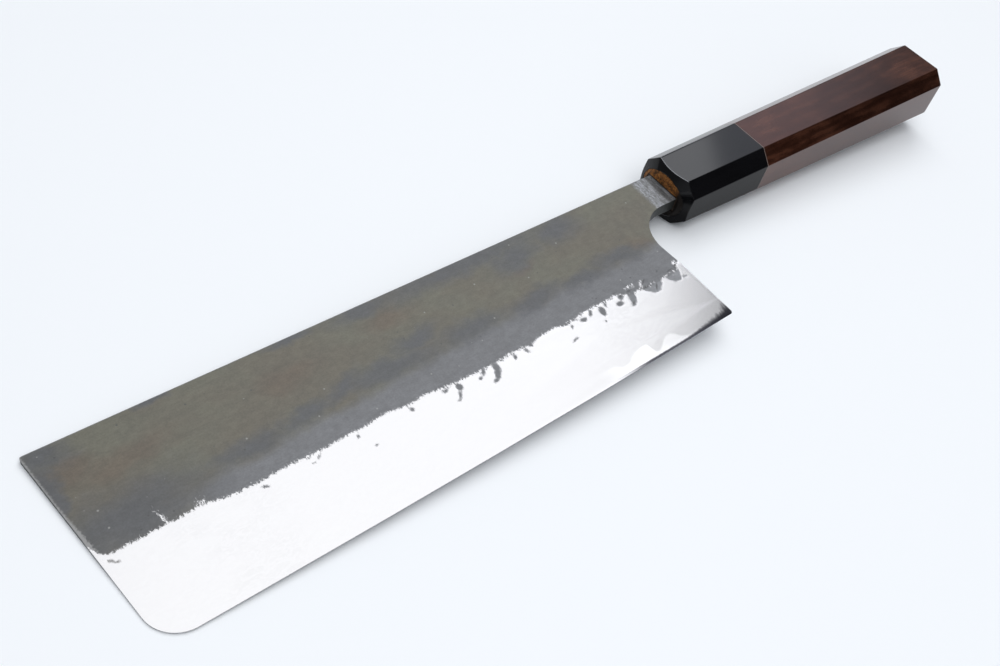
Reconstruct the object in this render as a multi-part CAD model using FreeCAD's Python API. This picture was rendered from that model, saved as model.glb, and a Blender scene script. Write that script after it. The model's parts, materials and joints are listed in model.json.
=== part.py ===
import FreeCAD, Part
import math
import os

Vector = FreeCAD.Vector

# A nakiri knife, in millimetres. It is drawn in its own frame first: X runs along the handle's axis
# from the ferrule's front towards the butt, Y towards the spine, and Z out of the blade's left face.

# Blade outline
edge_length = 165.5             # cutting edge, from the heel to the tip's square corner
tip_lean = 5.0                  # the spine reaches this far ahead of the edge
heel_height = 50.2              # spine to edge at the heel
tip_height = 52.3               # spine to edge at the tip
edge_belly = 0.5                # bow of the cutting edge
heel_setback = 15.1             # from the ferrule's front to the heel
heel_lean = 3.2                 # the heel's line starts this far ahead of the heel, under the neck
neck_height = 11.5
spine_rise = 6.1                # spine above the handle's axis
spine_corner_radius = 1.0
tip_corner_radius = 8.0
heel_corner_radius = 0.8
choil_radius = 11.5             # hollow between the neck and the heel
belly_reach_share = 0.75        # part of the half edge that is bowed

# Blade thickness
tip_thickness = 1.4             # at the spine
neck_thickness = 4.2            # at the spine
bevel_drop = 30.4               # spine to the line where the bevel starts
face_thinning = 0.5             # thickness lost between the spine and that line
edge_thickness = 0.2
spine_easing = 0.4              # broken corners along the spine

# Hard core between the two claddings
core_tip_thickness = 0.4
core_neck_thickness = 1.18
core_tang_thickness = 0.7

# Tang
tang_length = 75.0              # from the ferrule's front
tang_end_height = 6.0
tang_end_thickness = 2.4
tang_end_drop = 2.4             # the tang's end lies this far under the spine
tang_end_radius = 1.0

# Dowel and bedding, from the tang outwards
bedding_thickness = 0.5
bedding_recess = 0.4
dowel_rim = 1.5                 # wood above the bedding
dowel_cheek = 3.8               # wood beside the bedding
dowel_end_wall = 6.5            # wood behind the tang's end
dowel_recess = 0.15             # the dowel's end lies this far behind the ferrule's nose
dowel_clearance = 0.1

# Ferrule and glue film
ferrule_length = 34.8
ferrule_rim = 1.7               # wall above the dowel
ferrule_cheek = 1.8             # wall beside the dowel
nose_ring_radius = 6.8          # flat ring at the ferrule's front
nose_depth = 2.5                # turned slope, measured along the axis to the outermost ridge
glue_thickness = 0.25

# Octagonal handle, from the ferrule's front to the butt
handle_length = 126.5
front_corner_cut = 4.1
butt_height = 22.6
butt_thickness = 19.9
butt_corner_cut = 4.1
ridge_radius = 0.35
butt_rounding = 1.6
butt_rounding_steps = 4

cut_overrun = 5.0
flatness = 1e-6                 # four corners this close to one plane make a flat side

# Places that follow from the sizes
heel_x = -heel_setback
choil_x = heel_x - heel_lean
tip_edge_x = heel_x - edge_length
tip_spine_x = tip_edge_x - tip_lean
spine_y = spine_rise
bevel_y = spine_y - bevel_drop
heel_edge_y = spine_y - heel_height
tip_edge_y = spine_y - tip_height
neck_under_y = spine_y - neck_height
tang_top_y = spine_y - tang_end_drop
tang_under_y = tang_top_y - tang_end_height
dowel_end_x = tang_length + bedding_thickness + dowel_end_wall
dowel_half_height = max(spine_y, -neck_under_y) + bedding_thickness + dowel_rim
dowel_half_thickness = neck_thickness / 2 + bedding_thickness + dowel_cheek
front_height = 2 * (dowel_half_height + dowel_clearance + ferrule_rim)
front_thickness = 2 * (dowel_half_thickness + dowel_clearance + ferrule_cheek)


def mix(first, last, share):
    return first + (last - first) * share


def corner_arc(before, corner, after, radius):
    # start, middle and end of the arc that rounds a corner
    back = (before - corner).normalize()
    ahead = (after - corner).normalize()
    half_angle = back.getAngle(ahead) / 2
    reach = radius / math.tan(half_angle)
    centre = corner + (back + ahead).normalize() * (radius / math.sin(half_angle))
    middle = centre + (corner - centre).normalize() * radius
    return corner + back * reach, middle, corner + ahead * reach


def rounded_wire(corners):
    # closed outline through (point, radius) corners, with radius 0 for a sharp one
    arcs = []
    for index, (corner, radius) in enumerate(corners):
        before = corners[index - 1][0]
        after = corners[(index + 1) % len(corners)][0]
        if radius > 0:
            arcs.append(corner_arc(before, corner, after, radius))
        else:
            arcs.append((corner, None, corner))
    edges = []
    for index, (start, middle, end) in enumerate(arcs):
        if middle:
            edges.append(Part.Arc(start, middle, end).toShape())
        edges.append(Part.makeLine(end, arcs[(index + 1) % len(arcs)][0]))
    return Part.Wire(edges)


def polygon(points):
    return Part.makePolygon(points + points[:1])


def side_face(near, far):
    # side between two matching edges: a flat one where they allow it, otherwise a ruled one
    first, second = [vertex.Point for vertex in near.Vertexes]
    fourth, third = [vertex.Point for vertex in far.Vertexes]
    normal = (second - first).cross(fourth - first).normalize()
    straight = near.Length - first.distanceToPoint(second) < flatness
    if straight and abs(normal.dot(third - first)) < flatness:
        return Part.Face(polygon([first, second, third, fourth]))
    return Part.makeRuledSurface(near, far)


def ruled_solid(sections):
    # solid with straight sides through sections that have matching edges
    faces = [Part.Face(sections[0]), Part.Face(sections[-1])]
    for near, far in zip(sections, sections[1:]):
        faces += [side_face(*edges) for edges in zip(near.OrderedEdges, far.OrderedEdges)]
    solid = Part.Solid(Part.Shell(faces))
    return solid if solid.Volume > 0 else solid.reversed()


# Blade

def edge_y_at(x):
    # height of the straight line from the heel to the tip's corner
    return mix(heel_edge_y, tip_edge_y, (x - heel_x) / (tip_edge_x - heel_x))


def blade_corners():
    edge_middle = (Vector(heel_x, heel_edge_y, 0) + Vector(tip_edge_x, tip_edge_y, 0)) / 2
    half_edge = (edge_middle - Vector(heel_x, heel_edge_y, 0)).Length
    belly_height = 2 * edge_belly
    belly_radius = belly_reach_share * half_edge * half_edge / belly_height
    return {
        "spine tip": (Vector(tip_spine_x, spine_y, 0), spine_corner_radius),
        "edge tip": (Vector(tip_edge_x, tip_edge_y, 0), tip_corner_radius),
        "belly": (edge_middle - Vector(0, belly_height, 0), belly_radius),
        "heel": (Vector(heel_x, heel_edge_y, 0), heel_corner_radius),
        "choil": (Vector(choil_x, neck_under_y, 0), choil_radius),
        "neck under": (Vector(0, neck_under_y, 0), 0),
        "tang under": (Vector(tang_length, tang_under_y, 0), tang_end_radius),
        "tang top": (Vector(tang_length, tang_top_y, 0), tang_end_radius),
        "neck top": (Vector(0, spine_y, 0), 0),
    }


def blade_section(x, thickness):
    # cross-section at one station: eased spine, flat face, bevel, edge
    half = thickness / 2
    half_edge = edge_thickness / 2
    edge_y = edge_y_at(x)
    left = [
        (spine_y, half - spine_easing),
        (spine_y - spine_easing, half),
        (bevel_y, half - face_thinning / 2),
        (edge_y, half_edge),
        (edge_y - 2 * edge_belly, half_edge),
    ]
    right = [(y, -z) for y, z in reversed(left)]
    points = [Vector(x, y, z) for y, z in left + right]
    return polygon(points)


def core_section(x, thickness):
    top = spine_y + cut_overrun
    under = edge_y_at(x) - cut_overrun
    half = thickness / 2
    points = [Vector(x, y, z) for y, z in ((top, half), (under, half), (under, -half), (top, -half))]
    return polygon(points)


def blade_blank():
    outline = Part.Face(rounded_wire(list(blade_corners().values())))
    outline.translate(Vector(0, 0, -neck_thickness))
    plate = outline.extrude(Vector(0, 0, 2 * neck_thickness))
    stations = ((tip_spine_x, tip_thickness), (0, neck_thickness), (tang_length, tang_end_thickness))
    return plate.common(ruled_solid([blade_section(x, thickness) for x, thickness in stations]))


def core_slab():
    stations = (
        (tip_spine_x - cut_overrun, core_tip_thickness),
        (0, core_neck_thickness),
        (tang_length + cut_overrun, core_tang_thickness),
    )
    return ruled_solid([core_section(x, thickness) for x, thickness in stations])


def core_steel():
    return blade_blank().common(core_slab())


def cladding(side):
    # side is 1 for the left layer and -1 for the right one
    layers = blade_blank().cut(core_slab()).Solids
    return next(layer for layer in layers if layer.CenterOfMass.z * side > 0)


# Handle

def octagon_size_at(x):
    share = x / handle_length
    return (
        mix(front_height, butt_height, share),
        mix(front_thickness, butt_thickness, share),
        mix(front_corner_cut, butt_corner_cut, share),
    )


def octagon(x, inset):
    # outline at one station, with all eight sides moved inwards alike
    height, thickness, full_cut = octagon_size_at(x)
    cut = full_cut - inset * (2 - math.sqrt(2))
    far_y = height / 2 - inset
    far_z = thickness / 2 - inset
    near_y = far_y - cut
    near_z = far_z - cut
    quarter = [(far_y, near_z), (near_y, far_z)]
    mirrored = [(-y, z) for y, z in reversed(quarter)]
    upper = quarter + mirrored
    lower = [(y, -z) for y, z in reversed(upper)]
    return rounded_wire([(Vector(x, y, z), ridge_radius) for y, z in upper + lower])


def butt_section(step):
    # outline at one step round the butt's rounded rim
    turn = math.pi / 2 * step / butt_rounding_steps
    x = handle_length - butt_rounding * (1 - math.sin(turn))
    return octagon(x, butt_rounding * (1 - math.cos(turn)))


def handle_blank():
    rim = [butt_section(step) for step in range(butt_rounding_steps + 1)]
    return ruled_solid([octagon(0, 0)] + rim)


def ridge_radius_at_front():
    # distances of the two kinds of ridge from the axis
    beside_flat = math.hypot(front_height / 2 - front_corner_cut, front_thickness / 2)
    beside_edge = math.hypot(front_height / 2, front_thickness / 2 - front_corner_cut)
    return beside_flat, beside_edge


def nose_growth():
    return (max(ridge_radius_at_front()) - nose_ring_radius) / nose_depth


def turned_nose(start_x, end_x):
    end_radius = nose_ring_radius + nose_growth() * (end_x - start_x)
    return Part.makeCone(nose_ring_radius, end_radius, end_x - start_x, Vector(start_x, 0, 0), Vector(1, 0, 0))


def slice_along(shape, start_x, end_x):
    reach = handle_length
    corner = Vector(start_x, -reach, -reach)
    return shape.common(Part.makeBox(end_x - start_x, 2 * reach, 2 * reach, corner))


def oval_bar(start_x, end_x, clearance):
    half_height = dowel_half_height + clearance
    half_thickness = dowel_half_thickness + clearance
    oval = Part.Ellipse(Vector(0, 0, 0), half_height, half_thickness).toShape()
    oval.Placement = FreeCAD.Placement(
        Vector(start_x, 0, 0),
        FreeCAD.Rotation(Vector(0, 1, 0), Vector(0, 0, 1), Vector(1, 0, 0), "ZXY"),
    )
    return Part.Face(Part.Wire(oval)).extrude(Vector(end_x - start_x, 0, 0))


def dowel_bore():
    return oval_bar(-cut_overrun, dowel_end_x + dowel_clearance, dowel_clearance)


def slot_section(x, top, under, thickness):
    half = thickness / 2 + bedding_thickness
    high = top + bedding_thickness
    low = under - bedding_thickness
    return polygon([Vector(x, y, z) for y, z in ((high, half), (low, half), (low, -half), (high, -half))])


def tang_slot():
    # tapered slot in the dowel, which the bedding fills round the tang
    return ruled_solid([
        slot_section(0, spine_y, neck_under_y, neck_thickness),
        slot_section(tang_length + bedding_thickness, tang_top_y, tang_under_y, tang_end_thickness),
    ])


def tang_bedding():
    return slice_along(tang_slot(), bedding_recess, dowel_end_x).cut(blade_blank())


def dowel():
    bar = oval_bar(0, dowel_end_x, 0).common(turned_nose(dowel_recess, dowel_end_x))
    return bar.cut(tang_slot())


def ferrule():
    collar = slice_along(handle_blank(), 0, ferrule_length)
    return collar.common(turned_nose(0, ferrule_length)).cut(dowel_bore())


def glue_line():
    film = slice_along(handle_blank(), ferrule_length, ferrule_length + glue_thickness)
    return film.cut(dowel_bore())


def handle_body():
    grip = slice_along(handle_blank(), ferrule_length + glue_thickness, handle_length)
    return grip.cut(dowel_bore())


# The knife lies on its right face: on the two ends of the blade's flat at the tip, and on the
# ferrule's lower ridge on the edge side.

def right_flat_end(y, thinning):
    x = mix(tip_spine_x, tip_edge_x, (spine_y - y) / tip_height)
    half = mix(neck_thickness, tip_thickness, x / tip_spine_x) / 2
    return Vector(x, y, thinning / 2 - half)


def resting_points():
    ridge_x = (ridge_radius_at_front()[0] - nose_ring_radius) / nose_growth()
    height, thickness, cut = octagon_size_at(ridge_x)
    return (
        right_flat_end(spine_y - spine_easing, 0),
        right_flat_end(bevel_y, face_thinning),
        Vector(ridge_x, cut - height / 2, -thickness / 2),
    )


def lie_down(shapes):
    # turn the table plane level, then put the middle of the knife's box over the origin
    spine_end, bevel_end, ridge = resting_points()
    up = (bevel_end - spine_end).cross(ridge - spine_end).normalize()
    along = Vector(1, 0, 0) - up * up.x
    level = FreeCAD.Rotation(along, up.cross(along), up, "ZXY").inverted()
    for shape in shapes:
        shape.Placement = FreeCAD.Placement(Vector(0, 0, 0), level).multiply(shape.Placement)
    box = Part.makeCompound(shapes).optimalBoundingBox(False, False)
    for shape in shapes:
        shape.translate(Vector(-box.Center.x, -box.Center.y, -box.ZMin))


pieces = {
    "core_steel": core_steel(),
    "left_cladding": cladding(1),
    "right_cladding": cladding(-1),
    "tang_bedding": tang_bedding(),
    "dowel": dowel(),
    "ferrule": ferrule(),
    "glue_line": glue_line(),
    "handle_body": handle_body(),
}

lie_down(list(pieces.values()))
os.makedirs("parts", exist_ok=True)
for name, shape in pieces.items():
    shape.exportStep("parts/" + name + ".step")
    print(name, len(shape.Solids), "solid, volume", round(shape.Volume, 2), "valid", shape.isValid())
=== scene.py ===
import bmesh
import bpy
import json
import math
from mathutils import Matrix, Quaternion, Vector


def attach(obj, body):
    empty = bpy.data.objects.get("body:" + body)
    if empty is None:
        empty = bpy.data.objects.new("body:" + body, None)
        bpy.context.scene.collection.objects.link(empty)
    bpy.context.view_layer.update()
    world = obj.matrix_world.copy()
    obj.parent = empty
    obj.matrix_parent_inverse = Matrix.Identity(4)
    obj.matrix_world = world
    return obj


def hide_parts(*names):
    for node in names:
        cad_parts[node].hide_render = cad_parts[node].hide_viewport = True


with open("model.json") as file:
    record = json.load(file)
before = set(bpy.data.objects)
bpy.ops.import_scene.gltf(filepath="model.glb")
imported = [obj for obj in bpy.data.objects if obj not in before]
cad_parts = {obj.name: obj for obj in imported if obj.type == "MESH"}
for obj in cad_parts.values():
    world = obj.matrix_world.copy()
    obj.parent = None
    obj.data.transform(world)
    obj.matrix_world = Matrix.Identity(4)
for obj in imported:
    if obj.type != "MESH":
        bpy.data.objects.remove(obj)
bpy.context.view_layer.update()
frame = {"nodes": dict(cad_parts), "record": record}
nodes = frame["nodes"]
scene = bpy.context.scene
mm = 0.001

# The knife's own axes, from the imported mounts: along the handle, towards the spine, out of the left face
mountAxes = {mount["name"]: Vector(mount["axis"]) for mount in frame["record"]["mounts"]}
alongKnife = -mountAxes["blade_slot"]
outOfFace = mountAxes["left_blade_face"] - mountAxes["right_blade_face"]
outOfFace = (outOfFace - alongKnife * outOfFace.dot(alongKnife)).normalized()
towardsSpine = outOfFace.cross(alongKnife)


def reach(node, axis):
    places = [vertex.co.dot(axis) for vertex in nodes[node].data.vertices]
    return min(places), max(places)


def middle(pair):
    return (pair[0] + pair[1]) / 2


# Zero is on the handle's axis at the ferrule's front; knife places are in millimetres from there
zeroAlong = reach("ferrule", alongKnife)[0]
zeroUp = middle(reach("handle_body", towardsSpine))
zeroOut = middle(reach("handle_body", outOfFace))
knifeZero = alongKnife * zeroAlong + towardsSpine * zeroUp + outOfFace * zeroOut
knifeTurn = Matrix((alongKnife, towardsSpine, outOfFace)).transposed().to_euler()

blade = {
    "tip": (reach("core_steel", alongKnife)[0] - zeroAlong) / mm,
    "spine": (reach("core_steel", towardsSpine)[1] - zeroUp) / mm,
    "edge": (reach("core_steel", towardsSpine)[0] - zeroUp) / mm,
    "heel": -15.1,           # heel's corner, ahead of the ferrule
    "heelEdge": -44.1,       # the cutting edge at the heel
    "tipLean": 5.0,          # the spine reaches this far ahead of the edge
    "heelSlope": 0.082,      # the heel's line leans towards the tip by this share of its rise
}
print("knife frame:", {name: round(value, 2) for name, value in blade.items()})


class Wire:
    # one socket of a node tree; sums and products of wires add Math nodes
    def __init__(self, tree, socket=None):
        self.tree = tree
        self.socket = socket

    def make(self, kind, settings=(), sockets=(), out=0):
        node = self.tree.nodes.new(kind)
        for name, value in dict(settings).items():
            if name == "stops":
                while len(node.color_ramp.elements) < len(value):
                    node.color_ramp.elements.new(1)
                for stop, (place, colour) in zip(node.color_ramp.elements, value):
                    stop.position = place
                    stop.color = (*colour, 1)
            elif name == "points":
                curve = node.mapping.curves[0]
                while len(curve.points) < len(value):
                    curve.points.new(1, 1)
                for point, place in zip(curve.points, value):
                    point.location = place
                node.mapping.update()
            else:
                setattr(node, name, value)
        for name, value in dict(sockets).items():
            socket = self.find(node.inputs, name)
            if isinstance(value, list):      # several wires into one socket
                for wire in value:
                    self.tree.links.new(wire.socket, socket)
            elif isinstance(value, Wire):
                self.tree.links.new(value.socket, socket)
            else:
                socket.default_value = value
        return Wire(self.tree, self.find(node.outputs, out))

    @staticmethod
    def find(sockets, name):
        if isinstance(name, int):
            return sockets[name]
        return next((socket for socket in sockets if socket.identifier == name), None) or sockets[name]

    def pick(self, name):
        return Wire(self.tree, self.find(self.socket.node.outputs, name))

    def math(self, operation, *others):
        return self.make("ShaderNodeMath", {"operation": operation}, dict(enumerate((self, *others))))

    def swapped(self, operation, other):
        return self.make("ShaderNodeMath", {"operation": operation}, {0: other, 1: self})

    def __add__(self, other):
        return self.math("ADD", other)

    def __sub__(self, other):
        return self.math("SUBTRACT", other)

    def __rsub__(self, other):
        return self.swapped("SUBTRACT", other)

    def __mul__(self, other):
        return self.math("MULTIPLY", other)

    def __truediv__(self, other):
        return self.math("DIVIDE", other)

    def __rtruediv__(self, other):
        return self.swapped("DIVIDE", other)

    def __neg__(self):
        return self.math("MULTIPLY", -1)

    __radd__ = __add__
    __rmul__ = __mul__

    def vector(self, operation, other=None, out=0):
        sockets = {0: self} if other is None else {0: self, 1: other}
        return self.make("ShaderNodeVectorMath", {"operation": operation}, sockets, out)

    def dot(self, axis):
        return self.vector("DOT_PRODUCT", axis, "Value")

    def ease(self, low, high, first=0.0, last=1.0):
        # smooth step from first to last while this goes from low to high
        sockets = {"Value": self, "From Min": low, "From Max": high, "To Min": first, "To Max": last}
        return self.make("ShaderNodeMapRange", {"interpolation_type": "SMOOTHSTEP"}, sockets)

    def noise(self, size, detail=2.0, roughness=0.5, distortion=0.0, stretch=None, out="Fac"):
        # size is the wavelength, in the units of this vector, which stretch multiplies first
        sockets = {
            "Vector": self.vector("MULTIPLY", stretch) if stretch else self,
            "Scale": 1 / size, "Detail": detail, "Roughness": roughness, "Distortion": distortion,
        }
        return self.make("ShaderNodeTexNoise", {"noise_dimensions": "3D"}, sockets, out)

    def sway(self, spread, **noise):
        # noise about zero, over this spread
        return (self.noise(**noise) - 0.5) * spread

    def wander(self, spread, **noise):
        # the same as a vector
        return self.noise(**noise, out="Color").vector("SUBTRACT", (0.5, 0.5, 0.5)).vector("MULTIPLY", spread)

    def mixColour(self, first, last):
        # this wire is the share of the last colour
        sockets = {"Factor_Float": self, "A_Color": first, "B_Color": last}
        return self.make("ShaderNodeMix", {"data_type": "RGBA"}, sockets, "Result_Color")

    def mixNumber(self, first, last):
        sockets = {"Factor_Float": self, "A_Float": first, "B_Float": last}
        return self.make("ShaderNodeMix", {"data_type": "FLOAT"}, sockets)

    def parts(self):
        split = self.make("ShaderNodeSeparateXYZ", (), {0: self})
        return split.pick("X"), split.pick("Y"), split.pick("Z")

    def joined(self, x, y, z):
        return self.make("ShaderNodeCombineXYZ", (), {"X": x, "Y": y, "Z": z})


def paint(red, green, blue):
    return (red, green, blue, 1.0)


def newFinish(name):
    # a material, its shader and the place on the knife, in millimetres
    material = bpy.data.materials.new(name)
    material.use_nodes = True
    shader = material.node_tree.nodes["Principled BSDF"]
    root = Wire(material.node_tree)
    spot = root.make("ShaderNodeTexCoord", (), (), "Object")
    place = root.make("ShaderNodeMapping", {"vector_type": "TEXTURE"}, {
        "Vector": spot, "Location": knifeZero, "Rotation": knifeTurn, "Scale": (mm, mm, mm),
    })
    return material, shader, place


def setShader(shader, values):
    for name, value in values.items():
        if isinstance(value, Wire):
            value.tree.links.new(value.socket, shader.inputs[name])
        else:
            shader.inputs[name].default_value = value


def mark(root, name):
    # a number that the mesh stores at each point
    return root.make("ShaderNodeAttribute", {"attribute_name": name}, (), "Fac")


def shaded(colour, amount):
    # a colour darkened or lightened by a number
    grey = colour.joined(amount, amount, amount)
    settings = {"data_type": "RGBA", "blend_type": "MULTIPLY"}
    sockets = {"Factor_Float": 1.0, "A_Color": colour, "B_Color": grey}
    return colour.make("ShaderNodeMix", settings, sockets, "Result_Color")


def bumped(height, strength, depth):
    return height.make("ShaderNodeBump", (), {"Strength": strength, "Distance": depth, "Height": height})


def settle(piece):
    # the piece gets a plain mesh with its modifiers applied
    depsgraph = bpy.context.evaluated_depsgraph_get()
    piece.data = bpy.data.meshes.new_from_object(piece.evaluated_get(depsgraph), depsgraph=depsgraph)
    piece.modifiers.clear()


# Camera

camera = {
    "place": Vector((-195.52, -116.39, 201.43)) * mm,
    "aim": Vector((-45.25, 0.05, 4.0)) * mm,
    "roll": math.radians(-17.868),
    "lens": 39.506,
    "sensor": 36.0,
    "nearest": 0.01,         # nothing nearer than this is shown, metres
}


def setCamera():
    data = bpy.data.cameras.new("camera")
    data.lens = camera["lens"]
    data.sensor_width = camera["sensor"]
    data.clip_start = camera["nearest"]
    eye = bpy.data.objects.new("camera", data)
    scene.collection.objects.link(eye)
    look = (camera["aim"] - camera["place"]).to_track_quat("-Z", "Y")
    eye.rotation_mode = "QUATERNION"
    eye.rotation_quaternion = look @ Quaternion((0, 0, 1), -camera["roll"])
    eye.location = camera["place"]
    scene.camera = eye
    scene.view_settings.view_transform = "Standard"
    print("camera set")


# Floor and light

studio = {
    "floorReach": 6.0,
    "floorColour": paint(0.91, 0.935, 0.965),
    "floorRoughness": 0.55,
    "floorGloss": 0.25,
    "boxPlace": (0.128, 0.037, 1.2),     # overhead soft box, metres
    "boxTurn": math.radians(-33),
    "boxSize": (1.175, 2.6),
    "boxPower": 19.7,
    "boxColour": (0.99, 0.995, 1.0),
    "skyColour": paint(0.20, 0.207, 0.218),
    # soft patches of the room: towards them, the cosines between which they fade in, colour
    "patches": [
        (Vector((-0.52, -0.82, 0.24)), (0.45, 0.90), paint(0.52, 0.54, 0.57)),       # pale wall in front
        (Vector((0.64, 0.42, 0.643)), (0.972, 1.0), paint(1.22, 1.28, 1.45)),        # glow over the handle
        (Vector((0.724, -0.560, 0.405)), (0.93, 0.98), paint(0.02, 0.02, 0.022)),    # dark end of the room
    ],
}


def setFloor():
    half = studio["floorReach"]
    corners = [(-half, -half, 0), (half, -half, 0), (half, half, 0), (-half, half, 0)]
    mesh = bpy.data.meshes.new("floor")
    mesh.from_pydata(corners, [], [(0, 1, 2, 3)])
    floor = bpy.data.objects.new("floor", mesh)
    scene.collection.objects.link(floor)
    material = bpy.data.materials.new("pale floor")
    material.use_nodes = True
    setShader(material.node_tree.nodes["Principled BSDF"], {
        "Base Color": studio["floorColour"],
        "Roughness": studio["floorRoughness"],
        "Specular IOR Level": studio["floorGloss"],
    })
    mesh.materials.append(material)


def setLight():
    lamp = bpy.data.lights.new("soft box", "AREA")
    lamp.shape = "RECTANGLE"
    lamp.size, lamp.size_y = studio["boxSize"]
    lamp.energy = studio["boxPower"]
    lamp.color = studio["boxColour"]
    box = bpy.data.objects.new("soft box", lamp)
    box.location = studio["boxPlace"]
    box.rotation_euler = (0, 0, studio["boxTurn"])
    scene.collection.objects.link(box)
    world = bpy.data.worlds.new("studio")
    world.use_nodes = True
    direction = Wire(world.node_tree).make("ShaderNodeTexCoord", (), (), "Generated")
    sky = studio["skyColour"]
    for side, edge, colour in studio["patches"]:
        sky = direction.dot(side).ease(*edge).mixColour(sky, colour)
    setShader(world.node_tree.nodes["Background"], {"Color": sky})
    scene.world = world
    print("floor and light set")


# Blade: three forged layers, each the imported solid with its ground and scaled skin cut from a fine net

skin = {
    "cell": 0.35,            # net's mesh width, mm
    "margin": 2.0,           # the net reaches this far past the outline
    "mouthReach": 0.3,       # and this far into the handle's mouth
    "wasteTop": 15.0,        # what is cut off reaches this far out
    "rayStart": 20.0,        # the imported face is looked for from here
    "rayLength": 0.04,       # metres
    "besideFace": 2.5,       # past the outline, the point nearest to this height counts
    "join": 1e-6,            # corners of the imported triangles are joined, metres
    "creaseAngle": math.radians(30),
    "seed": 11.0,
    "lineMargin": 1.0,       # room above and below a drawn line in its curve
    "least": 0.006,          # cut everywhere
    "scaleRim": (-0.25, 0.25),
    "lumpDepth": 0.045,      # hollows of the forged face
    "grainDepth": 0.010,
    "waveDepth": 0.0008,     # waves that the stone left on the bevel
    "pitDepth": 0.022,       # patches of scale in hollows under the line
    "pitTop": (-0.9, -0.2),
    "rollDepth": 0.07,       # rounding at the heel's corner
    "rollRise": 2.2,
    "rollReach": 18.0,
    "heelRoll": 0.8,         # and up the heel, by a share of it, as far as the choil
    "heelShare": 0.1,
    "heelEnd": (-26.0, -20.0),
    # noise: its wavelength, and the spread by which it moves an edge
    "lumps": {"size": 4.5, "detail": 3.0, "roughness": 0.55},
    "grain": {"size": 0.9},
    "waves": {"size": 2.2, "distortion": 1.2, "stretch": (0.5, 1.0, 1.0)},
    "strokes": {"spread": 0.7, "size": 0.8, "roughness": 0.65, "stretch": (1.0, 0.4, 1.0)},
    "fray": {"spread": 0.45, "size": 2.6, "roughness": 0.55},
    "patchRim": {"spread": 0.45, "size": 0.9},
    "chipRim": {"spread": 0.5, "size": 0.7},
    "drift": {"spread": (9.0, 6.0, 0.0), "size": 5.0, "detail": 3.0, "roughness": 0.6},
}

# Where the forge scale ends, as (along, up) in knife millimetres; between them it frays
scaleLine = [
    (-187.0, -17.6), (-184.6, -18.6), (-183.2, -20.0), (-182.2, -21.7), (-181.2, -23.1), (-179.5, -23.5),
    (-172.0, -23.4), (-165.0, -23.4), (-160.5, -23.2), (-157.5, -23.8), (-154.0, -24.3), (-148.0, -24.6),
    (-143.0, -24.4), (-136.0, -24.4), (-129.0, -24.5), (-124.0, -24.3), (-120.0, -24.5), (-115.0, -23.9),
    (-111.0, -24.3), (-107.5, -24.7), (-104.0, -24.3), (-98.0, -25.0), (-92.0, -25.2), (-84.0, -25.3),
    (-76.5, -25.0), (-72.0, -25.4), (-69.5, -24.7), (-64.0, -24.3), (-59.5, -24.8), (-53.0, -24.2),
    (-45.0, -24.1), (-42.0, -24.0), (-39.0, -25.1), (-35.2, -25.8), (-30.0, -25.9), (-25.2, -25.8),
    (-20.5, -25.5), (-18.6, -24.3), (-17.2, -23.6), (1.0, -22.6),
]

# Patches of scale left under the line: (along, up, half length, half width, angle in degrees)
scalePatches = [
    (-180.7, -25.1, 0.40, 0.20, -30), (-179.9, -25.8, 0.45, 0.22, -30), (-146.9, -26.3, 0.65, 0.32, -25),
    (-135.4, -24.9, 0.40, 0.25, 0), (-135.0, -26.7, 0.25, 0.15, 0), (-133.3, -25.9, 0.48, 0.22, 40),
    (-123.1, -25.9, 0.52, 0.27, 50), (-120.9, -29.9, 0.32, 0.22, 0), (-108.5, -26.1, 0.62, 0.48, -60),
    (-98.6, -25.9, 0.80, 0.42, 25), (-95.1, -26.6, 1.15, 0.80, 80), (-96.2, -28.5, 1.2, 0.36, 60),
    (-97.3, -29.7, 0.42, 0.26, 10), (-89.0, -27.2, 0.62, 0.42, 30), (-87.3, -26.0, 1.05, 0.50, 50),
    (-83.7, -26.5, 1.6, 0.88, 90), (-84.6, -28.3, 1.45, 0.78, 58), (-86.0, -29.6, 0.95, 0.46, 20),
    (-81.0, -25.6, 0.40, 0.25, 0), (-77.6, -26.4, 0.70, 0.40, 55), (-73.8, -26.5, 0.72, 0.36, 120),
    (-71.8, -25.3, 0.85, 0.62, 0), (-59.5, -25.1, 0.75, 0.28, 0), (-58.6, -26.4, 0.50, 0.28, 60),
    (-60.4, -29.9, 0.82, 0.27, 15), (-57.0, -24.8, 0.85, 0.30, -20), (-54.4, -26.1, 0.98, 0.62, -5),
    (-51.4, -25.4, 0.95, 0.42, 45), (-48.0, -26.4, 1.45, 0.88, 80), (-49.2, -29.3, 0.36, 0.22, 0),
    (-45.8, -24.9, 0.95, 0.42, 70), (-43.4, -24.4, 0.38, 0.22, 0), (-42.0, -26.8, 1.10, 0.68, 0),
    (-40.4, -25.0, 1.05, 0.80, 80), (-37.3, -26.4, 2.6, 1.05, 68), (-38.4, -28.5, 0.95, 0.62, 35),
    (-31.2, -26.8, 2.3, 1.0, -35), (-29.5, -27.6, 1.9, 1.2, 0), (-27.3, -26.5, 1.9, 0.95, 48),
    (-22.8, -26.9, 2.1, 1.0, -55), (-21.2, -27.6, 1.3, 1.15, 0), (-19.9, -26.2, 1.9, 0.75, 72),
    (-18.7, -28.4, 0.60, 0.30, -10), (-29.2, -26.3, 2.2, 0.65, 0), (-21.5, -26.0, 1.6, 0.65, 0),
]

# Bright flecks where the scale has chipped off
scaleChips = [
    (-167.9, -22.2, 1.4, 0.32, 102), (-160.8, -22.7, 0.8, 0.35, 60), (-159.6, -23.0, 0.6, 0.30, 40),
    (-32.7, -24.8, 0.9, 0.36, 40), (-36.4, -23.6, 0.6, 0.28, 10), (-34.9, -23.7, 0.5, 0.25, 30),
    (-18.4, -23.2, 0.7, 0.42, 60),
]

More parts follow.
